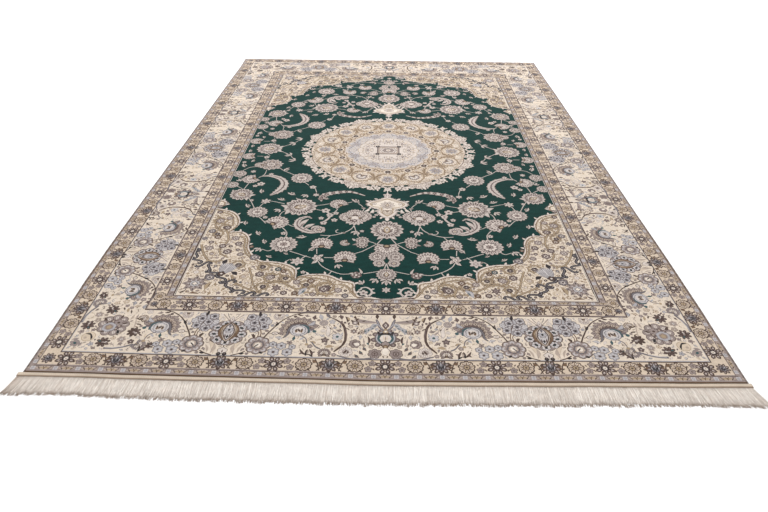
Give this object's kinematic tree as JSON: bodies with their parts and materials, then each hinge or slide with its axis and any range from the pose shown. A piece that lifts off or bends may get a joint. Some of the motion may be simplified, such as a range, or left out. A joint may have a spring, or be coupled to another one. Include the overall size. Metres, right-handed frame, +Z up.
{
  "type": "persian rug",
  "caption": "Rectangular knotted rug lying flat, with a round medallion, a wide border, overcast sides, flat-woven ends and a fringe at one end.",
  "frame": {"origin": "on the underside, at the centre of the rectangle of pile", "axes": "+Z up out of the pile, +Y along the length from the fringed end to the far end, +X to the right across the width"},
  "size_m": [2.0699, 3.1113, 0.008],
  "materials": {
    "pile": "dense knotted wool and silk pile, dark green field with cream, ivory, blue-grey and brown motifs",
    "selvedge": "overcast wool cord in charcoal brown and grey",
    "kilim": "plain flat-woven beige cotton",
    "fringe": "loose off-white cotton strands"
  },
  "bodies": {
    "root": {"rug_pile": "pile", "selvedge_left": "selvedge", "selvedge_right": "selvedge", "kilim_near": "kilim", "kilim_far": "kilim", "fringe_near": "fringe"}
  },
  "joints": []
}
